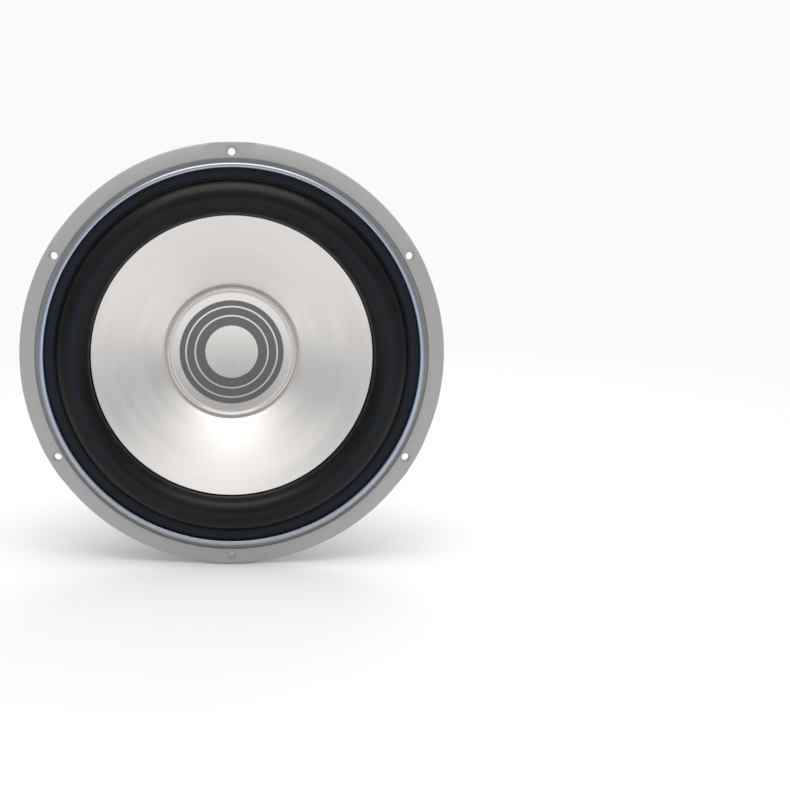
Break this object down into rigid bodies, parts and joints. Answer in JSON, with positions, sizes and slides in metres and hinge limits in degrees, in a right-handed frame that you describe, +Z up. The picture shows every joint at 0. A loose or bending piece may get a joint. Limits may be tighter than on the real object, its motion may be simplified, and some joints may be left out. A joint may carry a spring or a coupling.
{
  "type": "car subwoofer driver",
  "caption": "Round car subwoofer driver with an aluminium cone, rubber surround, vented motor and cast basket with open windows and push terminals.",
  "frame": {"origin": "centre of the bolt circle, on the rear face of the mounting flange", "axes": "+Y along the driver's axis from the cone towards the magnet, so the cone faces -Y; +Z up through one of the bolt holes; +X to the right seen from the front"},
  "size_m": [0.312, 0.1554, 0.312],
  "materials": {
    "basket_paint": "grey satin powder coat",
    "trim_silver": "satin silver",
    "zinc_plate": "bright zinc plating",
    "screw_black": "black oxide",
    "ferrite": "matt sintered ferrite",
    "boot_rubber": "satin black",
    "chrome_yoke": "polished chrome",
    "cone_aluminium": "spun satin",
    "cap_aluminium": "bright with a dark grey ring print",
    "former_film": "amber film",
    "coil_copper": "enamelled copper wire",
    "spider_cloth": "resin-stiffened woven cotton",
    "surround_rubber": "satin black",
    "eyelet_brass": "plain",
    "tinsel_braid": "braided copper tinsel with a dark jacket",
    "strip_phenolic": "black laminate",
    "plated_steel": "plated",
    "lug_tin": "tin plated",
    "nickel": "nickel plating",
    "button_red": "gloss red",
    "button_black": "gloss black",
    "spring_steel": "bright wire"
  },
  "bodies": {
    "frame": {"basket": "basket_paint", "trim_ring": "trim_silver", "top_plate": "zinc_plate", "top_plate_screws": "screw_black", "front_magnet": "ferrite", "rear_magnet": "ferrite", "magnet_boot": "boot_rubber", "t_yoke": "chrome_yoke", "spider": "spider_cloth", "surround": "surround_rubber", "tinsel_lead_red": "tinsel_braid", "tinsel_lead_black": "tinsel_braid", "terminal_strip": "strip_phenolic", "terminal_screw": "plated_steel", "terminal_nuts": "plated_steel", "solder_lugs": "lug_tin", "post_red": "nickel", "post_black": "nickel", "plunger_spring_red": "spring_steel", "plunger_spring_black": "spring_steel"},
    "cone_assembly": {"cone": "cone_aluminium", "dust_cap": "cap_aluminium", "coil_former": "former_film", "voice_coil": "coil_copper", "lead_eyelets": "eyelet_brass"},
    "red_button": {"plunger_red": "button_red"},
    "black_button": {"plunger_black": "button_black"}
  },
  "joints": [
    {"name": "cone_travel", "type": "slide", "parent": "frame", "child": "cone_assembly", "axis": [0, -1, 0], "range_m": [-0.01, 0.01], "stiffness_N_per_m": 4600, "deforming": ["surround", "spider", "tinsel_lead_red", "tinsel_lead_black"]},
    {"name": "press_red", "type": "slide", "parent": "frame", "child": "red_button", "axis": [0, -1, 0], "range_m": [0, 0.004], "stiffness_N_per_m": 300, "springref_m": -0.004, "deforming": ["plunger_spring_red"]},
    {"name": "press_black", "type": "slide", "parent": "frame", "child": "black_button", "axis": [0, -1, 0], "range_m": [0, 0.004], "stiffness_N_per_m": 300, "springref_m": -0.004, "deforming": ["plunger_spring_black"]}
  ]
}
